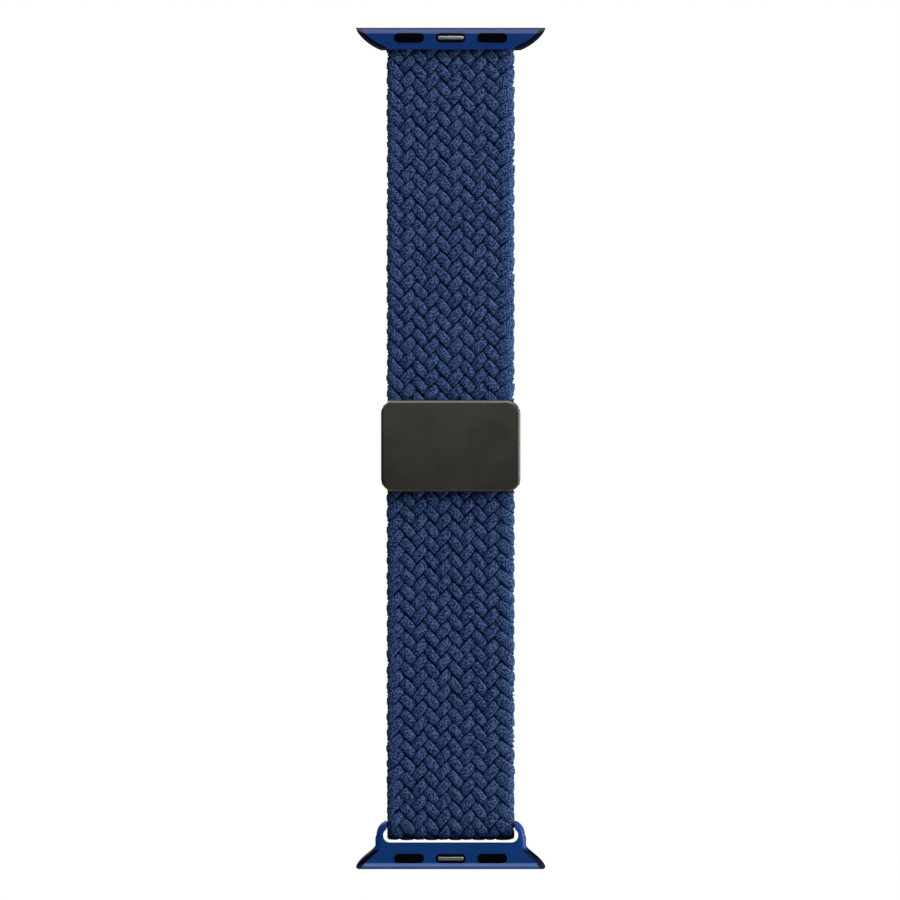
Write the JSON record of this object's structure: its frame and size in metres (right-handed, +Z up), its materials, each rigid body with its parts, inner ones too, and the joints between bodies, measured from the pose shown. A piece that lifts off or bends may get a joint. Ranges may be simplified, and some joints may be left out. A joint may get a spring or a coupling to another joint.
{
  "type": "fitness tracker band",
  "caption": "Flat braided nylon wrist band with a two-part magnetic clasp and slide-in case connectors at both ends.",
  "frame": {"origin": "middle of the flat outer end of the upper lug", "axes": "+Z up along the hanging strap, towards the upper lug; X across the strap; -Y towards the wrist"},
  "size_m": [0.0328, 0.0074, 0.1457],
  "materials": {
    "braid": "braided nylon yarn, navy blue",
    "lug": "satin navy blue coating",
    "pad": "smooth black rubber",
    "detent_housing": "black moulded plastic",
    "detent_steel": "fine brushed steel",
    "pin_steel": "ground steel",
    "magnet": "nickel plated",
    "strap_tip": "moulded dark blue plastic",
    "clasp": "matte dark grey coating over steel"
  },
  "bodies": {
    "upper_lug_body": {"upper_lug": "lug", "upper_pad_left": "pad", "upper_pad_right": "pad", "upper_detent_housing": "detent_housing", "upper_detent_spring": "detent_steel", "upper_strap_root": "braid"},
    "upper_detent": {"upper_detent_bar": "detent_steel"},
    "upper_link_1": {"upper_strap_1": "braid"},
    "upper_link_2": {"upper_strap_2": "braid"},
    "upper_link_3": {"upper_strap_3": "braid"},
    "upper_link_4": {"upper_strap_4": "braid"},
    "upper_link_5": {"upper_strap_5": "braid"},
    "upper_link_6": {"upper_strap_6": "braid"},
    "upper_link_7": {"upper_strap_7": "braid", "upper_strap_tip": "strap_tip"},
    "clasp_base_body": {"clasp_base": "clasp", "clasp_base_pin": "pin_steel", "clasp_base_magnet_left": "magnet", "clasp_base_magnet_right": "magnet", "clasp_stud": "pin_steel"},
    "clasp_cover_body": {"clasp_cover": "clasp", "clasp_cover_pin": "pin_steel", "clasp_cover_magnet_left": "magnet", "clasp_cover_magnet_right": "magnet"},
    "lower_link_1": {"lower_strap_tip": "strap_tip", "lower_strap_1": "braid"},
    "lower_link_2": {"lower_strap_2": "braid"},
    "lower_link_3": {"lower_strap_3": "braid"},
    "lower_link_4": {"lower_strap_4": "braid"},
    "lower_link_5": {"lower_strap_5": "braid"},
    "lower_link_6": {"lower_strap_6": "braid"},
    "lower_link_7": {"lower_strap_fold": "braid"},
    "lower_lug_body": {"lower_lug": "lug", "lower_pad_left": "pad", "lower_pad_right": "pad", "lower_detent_housing": "detent_housing", "lower_detent_spring": "detent_steel"},
    "lower_detent": {"lower_detent_bar": "detent_steel"}
  },
  "joints": [
    {"name": "upper_strap_bend_1", "type": "hinge", "parent": "upper_lug_body", "child": "upper_link_1", "pos_m": [0, 0, -0.0075], "axis": [-1, 0, 0], "range_deg": [-8, 16], "stiffness_Nm_per_rad": 0.0004},
    {"name": "upper_strap_bend_2", "type": "hinge", "parent": "upper_link_1", "child": "upper_link_2", "pos_m": [0, 0, -0.0156], "axis": [-1, 0, 0], "range_deg": [-8, 16], "stiffness_Nm_per_rad": 0.0004},
    {"name": "upper_strap_bend_3", "type": "hinge", "parent": "upper_link_2", "child": "upper_link_3", "pos_m": [0, 0, -0.0237], "axis": [-1, 0, 0], "range_deg": [-8, 16], "stiffness_Nm_per_rad": 0.0004},
    {"name": "upper_strap_bend_4", "type": "hinge", "parent": "upper_link_3", "child": "upper_link_4", "pos_m": [0, 0, -0.0318], "axis": [-1, 0, 0], "range_deg": [-8, 16], "stiffness_Nm_per_rad": 0.0004},
    {"name": "upper_strap_bend_5", "type": "hinge", "parent": "upper_link_4", "child": "upper_link_5", "pos_m": [0, 0, -0.0399], "axis": [-1, 0, 0], "range_deg": [-8, 16], "stiffness_Nm_per_rad": 0.0004},
    {"name": "upper_strap_bend_6", "type": "hinge", "parent": "upper_link_5", "child": "upper_link_6", "pos_m": [0, 0, -0.048], "axis": [-1, 0, 0], "range_deg": [-8, 16], "stiffness_Nm_per_rad": 0.0004},
    {"name": "upper_strap_bend_7", "type": "hinge", "parent": "upper_link_6", "child": "upper_link_7", "pos_m": [0, 0, -0.0561], "axis": [-1, 0, 0], "range_deg": [-8, 16], "stiffness_Nm_per_rad": 0.0004},
    {"name": "clasp_base_hinge", "type": "hinge", "parent": "upper_link_7", "child": "clasp_base_body", "pos_m": [0, 0, -0.0661], "axis": [-1, 0, 0], "range_deg": [-6, 10], "stiffness_Nm_per_rad": 0.0004},
    {"name": "clasp_release", "type": "slide", "parent": "clasp_base_body", "child": "clasp_cover_body", "axis": [0, 1, 0], "range_m": [0, 0.01]},
    {"name": "clasp_cover_hinge", "type": "hinge", "parent": "clasp_cover_body", "child": "lower_link_1", "pos_m": [0, 0, -0.0787], "axis": [-1, 0, 0], "range_deg": [-6, 10], "stiffness_Nm_per_rad": 0.0004},
    {"name": "lower_strap_bend_1", "type": "hinge", "parent": "lower_link_1", "child": "lower_link_2", "pos_m": [0, 0, -0.0876], "axis": [-1, 0, 0], "range_deg": [-8, 16], "stiffness_Nm_per_rad": 0.0004},
    {"name": "lower_strap_bend_2", "type": "hinge", "parent": "lower_link_2", "child": "lower_link_3", "pos_m": [0, 0, -0.0955], "axis": [-1, 0, 0], "range_deg": [-8, 16], "stiffness_Nm_per_rad": 0.0004},
    {"name": "lower_strap_bend_3", "type": "hinge", "parent": "lower_link_3", "child": "lower_link_4", "pos_m": [0, 0, -0.1034], "axis": [-1, 0, 0], "range_deg": [-8, 16], "stiffness_Nm_per_rad": 0.0004},
    {"name": "lower_strap_bend_4", "type": "hinge", "parent": "lower_link_4", "child": "lower_link_5", "pos_m": [0, 0, -0.1113], "axis": [-1, 0, 0], "range_deg": [-8, 16], "stiffness_Nm_per_rad": 0.0004},
    {"name": "lower_strap_bend_5", "type": "hinge", "parent": "lower_link_5", "child": "lower_link_6", "pos_m": [0, 0, -0.1192], "axis": [-1, 0, 0], "range_deg": [-8, 16], "stiffness_Nm_per_rad": 0.0004},
    {"name": "lower_strap_bend_6", "type": "hinge", "parent": "lower_link_6", "child": "lower_link_7", "pos_m": [0, 0, -0.1271], "axis": [-1, 0, 0], "range_deg": [-8, 16], "stiffness_Nm_per_rad": 0.0004},
    {"name": "lower_lug_swing", "type": "hinge", "parent": "lower_link_7", "child": "lower_lug_body", "pos_m": [0, 0.00185, -0.13775], "axis": [-1, 0, 0], "range_deg": [-18, 18], "stiffness_Nm_per_rad": 0.003},
    {"name": "upper_detent_press", "type": "slide", "parent": "upper_lug_body", "child": "upper_detent", "axis": [0, 1, 0], "range_m": [0, 0.0007], "stiffness_N_per_m": 1500, "springref_m": -0.0004},
    {"name": "lower_detent_press", "type": "slide", "parent": "lower_lug_body", "child": "lower_detent", "axis": [0, 1, 0], "range_m": [0, 0.0007], "stiffness_N_per_m": 1500, "springref_m": -0.0004}
  ]
}
